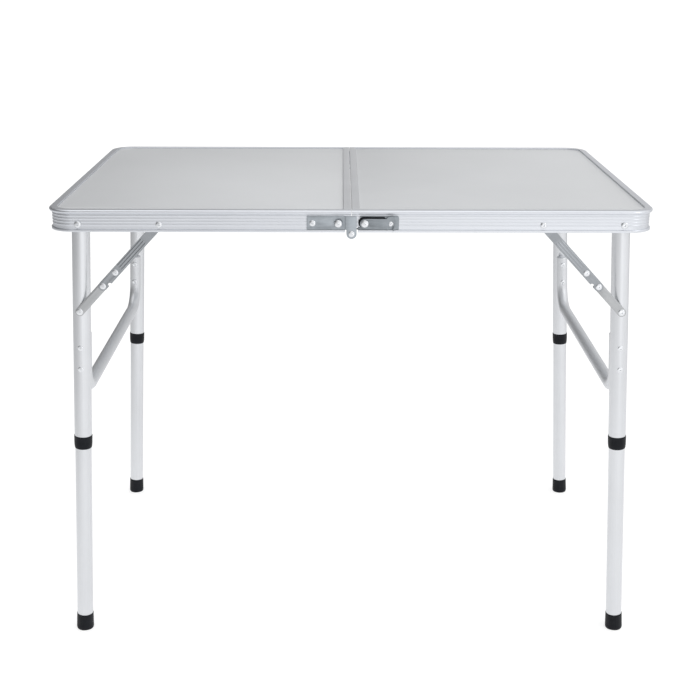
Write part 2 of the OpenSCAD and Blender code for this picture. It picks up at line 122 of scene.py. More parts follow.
BRACE_TILT = math.atan2(BRACE_TOP.z - BRACE_MID.z, BRACE_MID.x - BRACE_TOP.x)
BRACE_ON_LEG = 136.7
BRACE_END = LEG_PIVOT - LEG_UP * BRACE_ON_LEG
LINK_U = math.hypot(BRACE_MID.x - BRACE_TOP.x, BRACE_MID.z - BRACE_TOP.z)
LINK_L = math.hypot(BRACE_END.x - BRACE_MID.x, BRACE_END.z - BRACE_MID.z)
LINK_W = 14
LINK_IN = LEG_Y + UPPER_R + 1.5
LINK_OUT = LINK_IN + SHEET + 0.4
LINK_TOP = WEB_IN - 0.3 - SHEET
STUD_S = 29


# ---- materials ----

def new_material(name):
    material = bpy.data.materials.new(name)
    material.use_nodes = True
    tree = material.node_tree
    shader = tree.nodes["Principled BSDF"]
    return material, tree, shader


def add_node(tree, kind, settings=None, inputs=None):
    """One node, with its properties and its sockets' values or links."""
    node = tree.nodes.new(kind)
    for key, value in (settings or {}).items():
        setattr(node, key, value)
    for key, value in (inputs or {}).items():
        if isinstance(value, bpy.types.NodeSocket):
            tree.links.new(value, node.inputs[key])
        else:
            node.inputs[key].default_value = value
    return node


def stretched_noise(tree, scale, rotation=(0, 0, 0), detail=3.0, roughness=0.6):
    """Noise over the object's own coordinates, stretched by a scale along each axis."""
    coords = add_node(tree, "ShaderNodeTexCoord")
    mapping = add_node(tree, "ShaderNodeMapping", {"vector_type": "TEXTURE"},
                       {"Vector": coords.outputs["Object"], "Rotation": rotation,
                        "Scale": tuple(1 / s for s in scale)})
    noise = add_node(tree, "ShaderNodeTexNoise", None,
                     {"Vector": mapping.outputs["Vector"], "Scale": 1.0,
                      "Detail": detail, "Roughness": roughness})
    return noise.outputs["Fac"]


def remap(tree, value, low, high, in_low=0.3, in_high=0.7):
    node = add_node(tree, "ShaderNodeMapRange", None,
                    {"Value": value, "From Min": in_low, "From Max": in_high,
                     "To Min": low, "To Max": high})
    return node.outputs["Result"]


def mix_value(tree, factor, a, b):
    node = add_node(tree, "ShaderNodeMix", {"data_type": "FLOAT"}, {"Factor": factor})
    for socket, value in ((node.inputs[2], a), (node.inputs[3], b)):
        if isinstance(value, bpy.types.NodeSocket):
            tree.links.new(value, socket)
        else:
            socket.default_value = value
    return node.outputs[0]


def math_node(tree, operation, a, b=0.0):
    node = add_node(tree, "ShaderNodeMath", {"operation": operation}, {0: a, 1: b})
    return node.outputs[0]


def tinted(tree, value, dark, light):
    ramp = add_node(tree, "ShaderNodeValToRGB", None, {"Fac": value})
    ramp.color_ramp.elements[0].color = (*dark, 1)
    ramp.color_ramp.elements[1].color = (*light, 1)
    return ramp.outputs["Color"]


def bump(tree, height, distance, strength=1.0, under=None):
    inputs = {"Height": height, "Distance": distance, "Strength": strength}
    if under:
        inputs["Normal"] = under
    return add_node(tree, "ShaderNodeBump", None, inputs).outputs["Normal"]


def xyz(tree, space="Object"):
    """The object's own coordinates, or others, one by one."""
    coords = add_node(tree, "ShaderNodeTexCoord")
    return add_node(tree, "ShaderNodeSeparateXYZ", None, {0: coords.outputs[space]}).outputs


def finish_shader(tree, shader, color, roughness, normal, metallic):
    tree.links.new(color, shader.inputs["Base Color"])
    tree.links.new(roughness, shader.inputs["Roughness"])
    tree.links.new(normal, shader.inputs["Normal"])
    shader.inputs["Metallic"].default_value = metallic


def board_material():
    """Laminated board: light neutral grey, satin, with a very fine pebble in the foil."""
    material, tree, shader = new_material("board_laminate")
    cloud = stretched_noise(tree, (5, 5, 5), detail=4)
    pebble = stretched_noise(tree, (1400, 1400, 1400), detail=2)
    color = tinted(tree, remap(tree, cloud, 0, 1), (0.60, 0.612, 0.626), (0.63, 0.642, 0.656))
    roughness = math_node(tree, "ADD", remap(tree, cloud, 0.30, 0.36),
                          remap(tree, pebble, 0.0, 0.06))
    finish_shader(tree, shader, color, roughness, bump(tree, pebble, 0.00002, 0.5), 0.0)
    shader.inputs["Specular IOR Level"].default_value = 0.5
    return material


def aluminium(name, streak_value, dark, light, rough, depth=0.00002):
    """Satin aluminium with fine drawn lines; streak_value(tree) gives the lines."""
    material, tree, shader = new_material(name)
    streaks = streak_value(tree)
    cloud = stretched_noise(tree, (9, 9, 9), detail=5)
    mottled = math_node(tree, "ADD", math_node(tree, "MULTIPLY", streaks, 0.55),
                        math_node(tree, "MULTIPLY", cloud, 0.45))
    color = tinted(tree, remap(tree, mottled, 0, 1, 0.35, 0.65), dark, light)
    roughness = math_node(tree, "ADD", remap(tree, streaks, rough[0], rough[1]),
                          remap(tree, cloud, -0.02, 0.03))
    finish_shader(tree, shader, color, roughness, bump(tree, streaks, depth, 0.6), 1.0)
    return material


def streaks_along(axis, rotation=(0, 0, 0)):
    """Die lines along one axis of the object's coordinates."""
    scale = tuple(3 if i == axis else 1500 for i in range(3))
    return lambda tree: stretched_noise(tree, scale, rotation, detail=4, roughness=0.7)


def frame_streaks(tree):
    """Lines along X on the long sides of the edge frame and along Y on its ends."""
    away = math_node(tree, "ABSOLUTE", xyz(tree)["X"])
    half_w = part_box("edge_frame_right")[1].x
    at_end = remap(tree, away, 0, 1, half_w - RAIL_CORNER_R * MM, half_w - 0.010)
    return mix_value(tree, at_end, streaks_along(0)(tree), streaks_along(1)(tree))


def bar_streaks(tree):
    """Lines down the arms of a spreader bar and along Y in its cross tube."""
    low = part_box("spreader_left")[0].z
    arm = remap(tree, xyz(tree)["Z"], 0, 1, low + 0.020, low + 0.048)
    return mix_value(tree, arm, streaks_along(1)(tree), streaks_along(2)(tree))


def zinc_material(name, dark, light):
    """Zinc-plated steel: cool grey with soft clouds and fine rolling lines."""
    material, tree, shader = new_material(name)
    cloud = stretched_noise(tree, (60, 60, 60), detail=6, roughness=0.65)
    lines = stretched_noise(tree, (60, 1800, 1800), detail=3)
    value = math_node(tree, "ADD", math_node(tree, "MULTIPLY", cloud, 0.7),
                      math_node(tree, "MULTIPLY", lines, 0.3))
    color = tinted(tree, remap(tree, value, 0, 1, 0.35, 0.65), dark, light)
    roughness = remap(tree, cloud, 0.30, 0.46)
    finish_shader(tree, shader, color, roughness, bump(tree, value, 0.00003, 0.6), 1.0)
    return material


def rivet_material():
    """Bright rolled rivet heads with faint scratches."""
    material, tree, shader = new_material("rivet_metal")
    scratches = stretched_noise(tree, (2500, 600, 2500), detail=4)
    color = tinted(tree, remap(tree, scratches, 0, 1), (0.66, 0.675, 0.70), (0.82, 0.835, 0.86))
    finish_shader(tree, shader, color, remap(tree, scratches, 0.12, 0.22),
                  bump(tree, scratches, 0.00001, 0.5), 1.0)
    return material


def plastic_material():
    """Moulded black plastic: fine spark-eroded grain, a little lighter where it is rubbed."""
    material, tree, shader = new_material("black_moulding")
    grain = stretched_noise(tree, (2600, 2600, 2600), detail=2)
    rub = stretched_noise(tree, (45, 45, 45), detail=5, roughness=0.7)
    color = tinted(tree, remap(tree, rub, 0, 1, 0.4, 0.75), (0.004, 0.005, 0.008),
                   (0.009, 0.010, 0.014))
    roughness = math_node(tree, "ADD", remap(tree, rub, 0.42, 0.34),
                          remap(tree, grain, 0.0, 0.10))
    finish_shader(tree, shader, color, roughness, bump(tree, grain, 0.00004, 0.6), 0.0)
    shader.inputs["Specular IOR Level"].default_value = 0.18
    return material


LIGHT_ALU = ((0.66, 0.673, 0.695), (0.73, 0.743, 0.768))
BLUE_ALU = ((0.64, 0.66, 0.70), (0.71, 0.73, 0.77))
MATERIALS = {
    "board": board_material(),
    "extrusion": aluminium("extrusion", frame_streaks, *BLUE_ALU, (0.28, 0.38)),
    "seam": aluminium("seam_extrusion", streaks_along(1), *LIGHT_ALU, (0.30, 0.42)),
    "bar": aluminium("spreader_tube", bar_streaks, *LIGHT_ALU, (0.42, 0.52)),
    "zinc": zinc_material("zinc_plate", (0.32, 0.35, 0.38), (0.45, 0.485, 0.52)),
    "lever": zinc_material("lever_steel", (0.23, 0.252, 0.272), (0.34, 0.368, 0.396)),
    "rivet": rivet_material(),
    "plastic": plastic_material(),
}
for side, sign in LEFT_RIGHT.items():
    lean = (0, -sign * LEG_LEAN, 0)
    MATERIALS["tube_" + side] = aluminium("leg_tube_" + side, streaks_along(2, lean),
                                          *LIGHT_ALU, (0.28, 0.38))
    # The ribbed upper links get a darker copy of the links' aluminium: painted shade, for the
    # shadow of the table top over them. The pale links keep the metal's own tone.
    tilt = (0, sign * BRACE_TILT, 0)
    MATERIALS["link_" + side] = aluminium("brace_link_painted_shade_" + side, streaks_along(0, tilt),
                                          (0.29, 0.305, 0.325), (0.37, 0.388, 0.41),
                                          (0.28, 0.40), 0.00004)
    MATERIALS["pale_link_" + side] = aluminium("pale_link_" + side, streaks_along(0, tilt),
                                               (0.40, 0.41, 0.42), (0.48, 0.49, 0.50),
                                               (0.30, 0.42))


# ---- mesh helpers, in millimetres ----

def to_piece(bm, name, body, material, replaced=(), smooth=38):
    """Turns the millimetre mesh into a shown piece in metres that rides on a body."""
    bm.transform(Matrix.Scale(MM, 4))
    mesh = bpy.data.meshes.new(name)
    bm.to_mesh(mesh)
    bm.free()
    mesh.materials.append(MATERIALS[material])
    mesh.shade_smooth()
    mesh.set_sharp_from_angle(angle=math.radians(smooth))
    piece = bpy.data.objects.new(name, mesh)
    bpy.context.scene.collection.objects.link(piece)
    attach(piece, body)
    if replaced:
        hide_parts(*replaced)
    return piece


def mirrored_copy(bm, part, sign_x, sign_y):
    """Adds a part drawn for the back right quarter to bm, mirrored to another quarter."""
    part.transform(Matrix.Diagonal((sign_x, sign_y, 1, 1)))
    if sign_x * sign_y < 0:
        bmesh.ops.reverse_faces(part, faces=part.faces)
    holder = bpy.data.meshes.new("holder")
    part.to_mesh(holder)
    part.free()
    bm.from_mesh(holder)
    bpy.data.meshes.remove(holder)


def at_quarters(build, signs):
    """One mesh with the part that build() draws at each of the quarters given."""
    bm = bmesh.new()
    for sign_x, sign_y in signs:
        mirrored_copy(bm, build(), sign_x, sign_y)
    return bm


def turn_frame(axis):
    """Two unit vectors across an axis."""
    axis = Vector(axis).normalized()
    side = axis.orthogonal().normalized()
    return axis, side, axis.cross(side)


def lathe(bm, profile, origin, axis, steps=40, flutes=0, flute_depth=0.0, flute_span=(0, 0)):
    """Turns (radius, along) points about an axis. The profile starts and ends on the axis, or
    closes on itself. Flutes are shallow waves in every radius between two heights."""
    axis, side, other = turn_frame(axis)
    origin = Vector(origin)
    rings = []
    for radius, along in profile:
        centre = origin + axis * along
        if radius < 1e-6:
            rings.append([bm.verts.new(centre)])
            continue
        ring = []
        for i in range(steps):
            turn = 2 * math.pi * i / steps
            dip = 0.0
            if flutes and flute_span[0] < along < flute_span[1]:
                dip = flute_depth * (0.5 - 0.5 * math.cos(flutes * turn)) ** 2
            r = radius - dip
            ring.append(bm.verts.new(centre + side * (r * math.cos(turn))
                                     + other * (r * math.sin(turn))))
        rings.append(ring)
    for low, high in zip(rings, rings[1:]):
        for i in range(steps):
            j = (i + 1) % steps
            if len(low) == 1 and len(high) == 1:
                break
            if len(low) == 1:
                bm.faces.new((low[0], high[j], high[i]))
            elif len(high) == 1:
                bm.faces.new((low[i], low[j], high[0]))
            else:
                bm.faces.new((low[i], low[j], high[j], high[i]))
    if profile[0] == profile[-1]:
        bmesh.ops.remove_doubles(bm, verts=rings[0] + rings[-1], dist=0.0001)
    bmesh.ops.recalc_face_normals(bm, faces=bm.faces)


def dome_head(radius, height, hole=1.4):
    """Outer half of a blind rivet's profile: sunk mandrel, rolled hole edge, domed head."""
    points = [(0, 0.1 * height), (0.5 * hole, 0.12 * height), (0.8 * hole, 0.05 * height),
              (hole, 0.05 * height), (hole, 0.86 * height)]
    edge = 0.22 * height
    steps = 8
    for i in range(steps + 1):
        t = math.pi / 2 * i / steps
        points.append((hole + 0.15 + (radius - hole - 0.15) * math.sin(t),
                       edge + (height - edge) * math.cos(t)))
    points.append((radius, 0))
    return points


def back_head(radius, height, grip):
    """Inner half of a rivet's profile: the flattened tail behind the sheets."""
    return [(radius - 0.3, -grip), (radius, -grip - 0.3), (radius, -grip - 0.6 * height),
            (0.75 * radius, -grip - height), (0, -grip - height)]


def rivet(bm, seat, out, grip, radius=4.8, height=1.6, shank=2.4, tail=(4.0, 1.0), hole=1.4):
    """A whole blind rivet: seat is where its head meets the outer sheet."""
    profile = dome_head(radius, height, hole) + [(shank, 0), (shank, -grip)]
    lathe(bm, profile + back_head(*tail, grip), seat, out)


def arc(centre, radius, start, end, steps=10):
    """Points on an arc, in degrees."""
    return [(centre[0] + radius * math.cos(math.radians(start + (end - start) * i / steps)),
             centre[1] + radius * math.sin(math.radians(start + (end - start) * i / steps)))
            for i in range(steps + 1)]


def circle(centre, radius, steps=28):
    return arc(centre, radius, 0, 360 * (1 - 1 / steps), steps - 1)


def rounded_box(x0, z0, x1, z1, radii):
    """Outline of a box with its own radius at each corner, anticlockwise from the low left one."""
    corners = [((x0, z0), (1, 1), 180), ((x1, z0), (-1, 1), 270),
               ((x1, z1), (-1, -1), 0), ((x0, z1), (1, -1), 90)]
    points = []
    for ((x, z), (sx, sz), start), r in zip(corners, radii):
        if r == 0:
            points.append((x, z))
        else:
            points += arc((x + sx * r, z + sz * r), r, start, start + 90, 6)
    return points


def sheet_metal(outlines, thickness, edge=0.3):
    """A flat plate between y = 0 and y = thickness, from outlines in x and z. The first is the
    outside and the others are holes. Its edges are rounded as a punched sheet's are."""
    curve = bpy.data.curves.new("outline", "CURVE")
    curve.dimensions = "2D"
    curve.fill_mode = "BOTH"
    curve.extrude = thickness / 2 - edge
    curve.bevel_depth = edge
    curve.bevel_resolution = 1
    curve.offset = -edge
    for points in outlines:
        spline = curve.splines.new("POLY")
        spline.points.add(len(points) - 1)
        spline.use_cyclic_u = True
        for point, (x, z) in zip(spline.points, points):
            point.co = (x, z, 0, 1)
    holder = bpy.data.objects.new("outline", curve)
    bpy.context.scene.collection.objects.link(holder)
    bpy.context.view_layer.update()
    mesh = bpy.data.meshes.new_from_object(
        holder.evaluated_get(bpy.context.evaluated_depsgraph_get()))
    bm = bmesh.new()
    bm.from_mesh(mesh)
    bpy.data.objects.remove(holder)
    bpy.data.curves.remove(curve)
    bpy.data.meshes.remove(mesh)
    bmesh.ops.remove_doubles(bm, verts=bm.verts, dist=0.001)
    # The curve lies in x and y: stand it up, so that its y becomes z.
    for vert in bm.verts:
        x, z, depth = vert.co
        vert.co = (x, depth + thickness / 2, z)
    bmesh.ops.recalc_face_normals(bm, faces=bm.faces)
    return bm


def slice_at(bm, cuts, axis):
    """Cuts the mesh's faces at several places along an axis, so that it can be bent there."""
    normal = Vector([1.0 if i == axis else 0.0 for i in range(3)])
    for cut in cuts:
        geometry = bm.verts[:] + bm.edges[:] + bm.faces[:]
        bmesh.ops.bisect_plane(bm, geom=geometry, plane_co=normal * cut, plane_no=normal,
                               dist=0.0005)


def smooth_step(value, low, high):
    t = min(max((value - low) / (high - low), 0.0), 1.0)
    return t * t * (3 - 2 * t)


def soft_slope(value, low, high):
    """A straight slope from 0 to 1 with rounded ends."""
    t = min(max((value - low) / (high - low), 0.0), 1.0)
    bend = 0.15
    if t < bend:
        return t * t / (2 * bend * (1 - bend))
    if t > 1 - bend:
        return 1 - (1 - t) ** 2 / (2 * bend * (1 - bend))
    return (t - bend / 2) / (1 - bend)


def spread(low, high, steps):
    return [low + (high - low) * i / steps for i in range(steps + 1)]


# ---- CAD parts that stay, with their edges eased ----

def dress(node, material, bevel=0.0, smooth=38):
    """Gives a CAD part its material and, where asked, rounded edges."""
    part = nodes[node]
    part.data.materials.clear()
    part.data.materials.append(MATERIALS[material])
    part.data.shade_smooth()
    if bevel:
        weld = part.modifiers.new("weld", "WELD")
        weld.merge_threshold = 0.000005
        ease = part.modifiers.new("ease", "BEVEL")
        ease.width = bevel * MM
        ease.segments = 2
        ease.limit_method = "ANGLE"
        ease.angle_limit = math.radians(smooth)
        ease.harden_normals = True


def dress_cad_parts():
    for side in LEFT_RIGHT:
        dress("seam_rail_" + side, "seam", 0.2)
        dress("panel_" + side, "board", 0.1)
        dress("seam_brackets_" + side, "zinc", 0.3)
        dress("spreader_" + side, "bar")
    for key, (side, _) in CORNERS.items():
        dress("upper_tube_" + key, "tube_" + side)
        dress("lower_tube_" + key, "tube_" + side)


# ---- edge frame ----

def rail_section():
    """Section of the edge frame in three runs: the outside down to the cut-out at the seam, the
    part below it, and the inside. Points are (outward from the bead, upward from the top), so
    that none is above 0."""
    outside = [(-11.6, 0)] + arc((-3, -3), 3, 90, -90, 14) + [(-3.8, -6), (-4, -6.2)]
    for middle in (-9, -13.5, -18, -22.5):
        for t in spread(0, 1, 8):
            outside.append((-4 + 0.4 * math.sin(math.pi * t) ** 2, middle + 0.9 - 1.8 * t))
    outside.append((-4, CUT_Z))
    below = [(-4, -28.6), (-3.8, -28.9), (-2.6, -29.1), (-2.2, -29.3), (-2, -29.7), (-2, -32.5),
             (-2.15, -32.85), (-2.5, -33), (-5.3, -33), (-5.5, -32.8)]
    inside = [(-5.5, CUT_Z), (-5.5, -7.4), (-10.8, -7.4), (-11, -7.2), (-11, -6), (-5.5, -6),
              (-5.5, -2.1), (-11.8, -2.1), (-12, -1.9), (-12, -0.4)]
    return outside, below, inside


def edge_frame():
    """One half of the edge frame, from the seam at the front round to the seam at the back."""
    bm = bmesh.new()
    low, high = box_mm("edge_frame_right")
    x1, y1 = high.x - RAIL_CORNER_R, high.y - RAIL_CORNER_R
    stations = [((x, -high.y), (0, -1)) for x in (low.x, CUT_X, x1)]
    for sign, start in ((-1, -90), (1, 0)):
        for i in range(1, 20):
            turn = math.radians(start + 90 * i / 20)
            out = (math.cos(turn), math.sin(turn))
            stations.append(((x1 + RAIL_CORNER_R * out[0], sign * y1 + RAIL_CORNER_R * out[1]),
                             out))
        if sign < 0:
            stations += [((high.x, -y1), (1, 0)), ((high.x, y1), (1, 0))]
    stations += [((x, high.y), (0, 1)) for x in (x1, CUT_X, low.x)]
    outside, below, inside = rail_section()
    section = outside + below + inside
    rings = [[bm.verts.new((x + u * out[0], y + u * out[1], TOP_Z + v)) for u, v in section]
             for (x, y), out in stations]
    first = len(outside) - 1
    last = len(outside) + len(below)
    count = len(section)
    for number, (ring, following) in enumerate(zip(rings, rings[1:])):
        at_seam = number in (0, len(rings) - 2)
        for i in range(count):
            j = (i + 1) % count
            if at_seam and first <= i < last:
                continue
            bm.faces.new((ring[i], ring[j], following[j], following[i]))
        if at_seam:
            bm.faces.new((ring[first], ring[last], following[last], following[first]))
    for end, step in ((rings[0], rings[1]), (rings[-1], rings[-2])):
        bm.faces.new(end[:first + 1] + end[last:])
        bm.faces.new(step[first:last + 1])
        for vert in end[first + 1:last]:
            bm.verts.remove(vert)
    bmesh.ops.recalc_face_normals(bm, faces=bm.faces)
    return bm


def edge_frame_pieces():
    for side, sign in LEFT_RIGHT.items():
        to_piece(at_quarters(edge_frame, [(sign, 1)]), "edge_extrusion_" + side, side + "_half",
                 "extrusion", ["edge_frame_" + side], 30)


# ---- middle hinge ----

def plate_holes():
    return [circle((RIVET_IN, RIVET_Z), 3.05), circle((RIVET_OUT, RIVET_Z), 2.6),
            circle((0, FOLD_PIN.z), 2.6)]


def outer_hinge_plate():
    """Plate whose ear lies outside. Here x runs outward from the seam, so the ear crosses it."""
    end = -box_mm("hinge_plates_left")[0].x
    ear_r = -box_mm("hinge_pins")[0].x + 3
    outline = (arc((end - 1, PLATE_LOW + 1), 1, -90, 0, 4)
               + arc((end - 1, PLATE_TOP - 1), 1, 0, 90, 4)
               + [(11, PLATE_TOP), (9.5, PLATE_TOP - 0.5)]
               + arc((2.2 - ear_r, PLATE_TOP - 2.7), 2.2, 90, 180, 5)
               + arc((0, FOLD_PIN.z), ear_r, 180, 360, 18)
               + arc((ear_r + 1.5, PLATE_LOW - 1.5), 1.5, 180, 90, 4))
    bend = (8, 10.4)
    bm = sheet_metal([outline, *plate_holes()], SHEET)
    slice_at(bm, spread(*bend, 5), 0)
    for vert in bm.verts:
        vert.co.y += WEB_OUT + EAR_STEP * (1 - smooth_step(vert.co.x, *bend))
    return bm


def inner_hinge_plate():
    """Plate whose ear lies inside: a tongue steps in under the edge frame to reach the pin."""
    end = box_mm("hinge_plates_right")[1].x
    start = 12.5
    ear_r = 6.8
    outline = (arc((end - 1, PLATE_LOW + 1), 1, -90, 0, 4)
               + arc((end - 3, PLATE_TOP - 3), 3, 0, 90, 6)
               + arc((start + 1, PLATE_TOP - 1), 1, 90, 180, 4)
               + [(start, PLATE_LOW + 3.5), (9.5, PLATE_LOW + 3), (8.5, PLATE_LOW + 1.8),
                  (-ear_r, PLATE_LOW + 1.8)]
               + arc((0, FOLD_PIN.z), ear_r, 180, 360, 20) + [(ear_r, PLATE_LOW)])
    bend = (7.6, 9.4)
    bm = sheet_metal([outline, *plate_holes()], SHEET, 0.25)
    slice_at(bm, spread(*bend, 4), 0)
    for vert in bm.verts:
        vert.co.y += WEB_OUT - TONGUE_STEP * (1 - smooth_step(vert.co.x, *bend))
    return bm


def hinge_pin():
    bm = bmesh.new()
    seat = (0, PLATE_FACE + EAR_STEP, FOLD_PIN.z)
    rivet(bm, seat, (0, 1, 0), seat[1] - WEB_IN + 0.4, 4.6, 1.1, 2.5, (4, 0.9), 1.2)
    return bm


def flat_rivet():
    bm = bmesh.new()
    rivet(bm, (RIVET_OUT, PLATE_FACE, RIVET_Z), (0, 1, 0), HINGE_GRIP, 4.7, 1.6, 2.5, (4, 1))
    return bm


def tall_rivet():
    """Rivet with a shoulder and a neck: the lever turns on one and hooks round the other."""
    bm = bmesh.new()
    neck = LEVER_OUT + 0.3 - PLATE_FACE
    head = [(r, along + neck) for r, along in dome_head(5.4, 1.3, 1.5)]
    body = [(3, neck), (3, SHOULDER), (4.7, SHOULDER), (5, SHOULDER - 0.3), (5, 0),
            (2.9, 0), (2.9, -HINGE_GRIP)]
    lathe(bm, head + body + back_head(4.4, 1, HINGE_GRIP), (RIVET_IN, PLATE_FACE, RIVET_Z),
          (0, 1, 0))
    return bm


def lever():
    """Bar with a taller hooked end, whose upper lip leans outward. The hook's mouth opens
    downward."""
    r, hook_r, hole_r = 7.3, 11.2, 3.5
    back, front = -6.8, 4.6
    hook_x = 3 * RIVET_IN
    mouth = [(-5.1, -9.97), (-hole_r, -1)]
    mouth += arc((0, 0), hole_r, 180, 0, 12) + [(3.4, -4), (2.2, -10.98)]

    def angle(x):
        return math.degrees(math.acos(x / hook_r))

    hook = [(back, -r)] + arc((0, 0), hook_r, -angle(back), -angle(-5.1), 3) + mouth
    hook += arc((0, 0), hook_r, -angle(2.2), -angle(front), 3)
    hook += arc((0, 0), hook_r, angle(front), angle(back), 10) + [(back, r)]
    outline = arc((RIVET_IN, RIVET_Z), r, 90, 270, 16)
    outline += [(hook_x + x, RIVET_Z + z) for x, z in hook]
    bm = sheet_metal([outline, circle((RIVET_IN, RIVET_Z), 3.1)], SHEET)
    lip_from, lip_to = RIVET_Z + r - 0.5, RIVET_Z + hook_r
    lip_out = 0.9
    slice_at(bm, spread(lip_from, lip_to - 0.6, 5), 2)
    for vert in bm.verts:
        vert.co.y += LEVER_IN + lip_out * smooth_step(vert.co.z, lip_from, lip_to)
    return bm


# Black pad behind each lever, larger than the lever at its top and left end: painted shadow, a
# dark part standing where the gap round the lever is in shade.
def lever_pad():
    low, high = box_mm("lever_pads")
    r = (high.z - low.z) / 2
    outline = arc((low.x + r, high.z - r), r, 90, 270, 16)
    outline += arc((high.x - 1, low.z + 1), 1, -90, 0, 3)
    outline += arc((high.x - 1, high.z - 1), 1, 0, 90, 3)
    bm = sheet_metal([outline, circle((RIVET_IN, RIVET_Z), 5.1)], SHOULDER, 0.4)
    bm.transform(Matrix.Translation((0, PLATE_FACE, 0)))
    return bm


def hinge_pieces():
    to_piece(at_quarters(outer_hinge_plate, LEFT), "outer_hinge_plates", "left_half",
             "zinc", ["hinge_plates_left"])
    to_piece(at_quarters(inner_hinge_plate, RIGHT), "inner_hinge_plates", "right_half",
             "lever", ["hinge_plates_right"])
    to_piece(at_quarters(hinge_pin, LEFT), "middle_hinge_pins", "left_half",
             "rivet", ["hinge_pins"])
    for side, quarters in QUARTERS.items():
        bm = at_quarters(flat_rivet, quarters)
        for sign_x, sign_y in quarters:
            mirrored_copy(bm, tall_rivet(), sign_x, sign_y)
        to_piece(bm, "hinge_plate_rivets_" + side, side + "_half", "rivet",
                 ["hinge_rivets_" + side])
    # The black pads stand for the shadow gap round the levers: painted shadow.
    to_piece(at_quarters(lever_pad, RIGHT), "lever_shadow_pads", "right_half",
             "plastic", ["lever_pads"])
    for word, sign_y in FRONT_BACK.items():
        to_piece(at_quarters(lever, [(1, sign_y)]), "lever_" + word, "lock_lever_" + word,
                 "lever", ["lock_lever_" + word])


# ---- rivets of the edge frame and the leg frames ----

def leg_pivot_rivet():
    """Hinge pin of a leg, with the spacer between the frame and the tube."""
    bm = bmesh.new()
    seat = (LEG_PIVOT.x, WEB_OUT, LEG_PIVOT.z)
    grip = WEB_OUT - LEG_Y + UPPER_R + 0.6
    rivet(bm, seat, (0, 1, 0), grip, 5.2, 1.8, 4.0, (6.0, 1.2), 1.5)
    long = WEB_IN - LEG_Y - UPPER_R - 0.4
    spacer = [(4.05, 0), (6.2, 0), (6.5, 0.3), (6.5, long - 0.3), (6.2, long), (4.05, long),
              (4.05, 0)]
    lathe(bm, spacer, (LEG_PIVOT.x, LEG_Y + UPPER_R + 0.4, LEG_PIVOT.z), (0, 1, 0))
    return bm


def brace_top_rivet():
    bm = bmesh.new()
    rivet(bm, (BRACE_TOP.x, WEB_OUT, BRACE_TOP.z), (0, 1, 0), WEB_OUT - LINK_TOP + 0.1)
    return bm


def on_leg(s, y):
    """Point at a distance s down the leg's axis, at a depth y."""
    point = LEG_PIVOT - LEG_UP * s
    return Vector((point.x, y, point.z))


def spreader_bar_rivets():
    """Short rivets: the outer ones end in the leg's wall, so that the lower leg slides past."""
    bm = bmesh.new()
    wall = TUBE_WALL + 0.05
    for s in SPREAD_RIVETS:
        outside = dome_head(4.5, 1.1, 1.2) + [(4.3, -0.4), (2.4, -0.3), (2.4, -wall), (0, -wall)]
        lathe(bm, outside, on_leg(s, LEG_Y + UPPER_R), (0, 1, 0))
        reach = LEG_Y - UPPER_R + wall - SPREAD_FACE
        inside = dome_head(4.5, 1.3, 1.2) + [(4.3, -0.7), (2.4, -0.3), (2.4, -reach), (0, -reach)]
        lathe(bm, inside, on_leg(s, SPREAD_FACE), (0, -1, 0))
    return bm


def rivet_pieces():
    for side, quarters in QUARTERS.items():
        body = side + "_half"
        to_piece(at_quarters(leg_pivot_rivet, quarters), "leg_pivot_rivets_" + side, body,
                 "rivet", ["leg_pivots_" + side])
        to_piece(at_quarters(brace_top_rivet, quarters), "brace_top_rivets_" + side, body,
                 "rivet", ["brace_rivets_" + side])
        to_piece(at_quarters(spreader_bar_rivets, quarters), "spreader_bar_rivets_" + side,
                 side + "_leg_frame", "rivet", ["spreader_rivets_" + side])


# ---- braces, drawn along x from the rivet on the edge frame ----

def on_brace(bm):
    turn = Matrix.Rotation(BRACE_TILT, 4, "Y")
    bm.transform(Matrix.Translation((BRACE_TOP.x, 0, BRACE_TOP.z)) @ turn)
    return bm


def finger_notch(r):
    """Round notch in the lower edge of both links, just above the stud."""
    x = LINK_U + STUD_S - 8.8
    return [(x - 3.6, -r)] + arc((x, -r + 0.6), 3.1, 190, -10, 12) + [(x + 3.6, -r)]


def upper_link():
    """Top end against the edge frame, a step inward, and a bar stiffened by three pressed ribs."""
    tail = LINK_U + STUD_S
    r = LINK_W / 2
    outline = arc((0, 0), r, 90, 270, 16) + finger_notch(r) + arc((tail, 0), r, -90, 90, 16)
    holes = [circle((0, 0), 2.6), circle((LINK_U, 0), 3.1), circle((tail, 0), 3.1)]
    bm = sheet_metal([outline, *holes], SHEET)
    step_from, step_to = 17, 35
    rib_from, rib_to = 35.5, LINK_U - 9
    slice_at(bm, spread(step_from, step_to, 12), 0)
    slice_at(bm, spread(rib_from, rib_from + 2, 4) + spread(rib_to - 3, rib_to, 4), 0)
    ribs = (-4.2, 0, 4.2)
    half = 1.3
    for middle in ribs:
        slice_at(bm, spread(middle - half, middle + half, 6), 2)
    for vert in bm.verts:
        x, _, z = vert.co
        rib = max(0.0, max(1 - abs(z - middle) / half for middle in ribs))
        ends = smooth_step(x, rib_from, rib_from + 2) * (1 - smooth_step(x, rib_to - 3, rib_to))
        step = 1 - soft_slope(x, step_from, step_to)
        vert.co.y += LINK_OUT + step * (LINK_TOP - LINK_OUT) + 0.6 * ends * smooth_step(rib, 0, 1)
    return on_brace(bm)


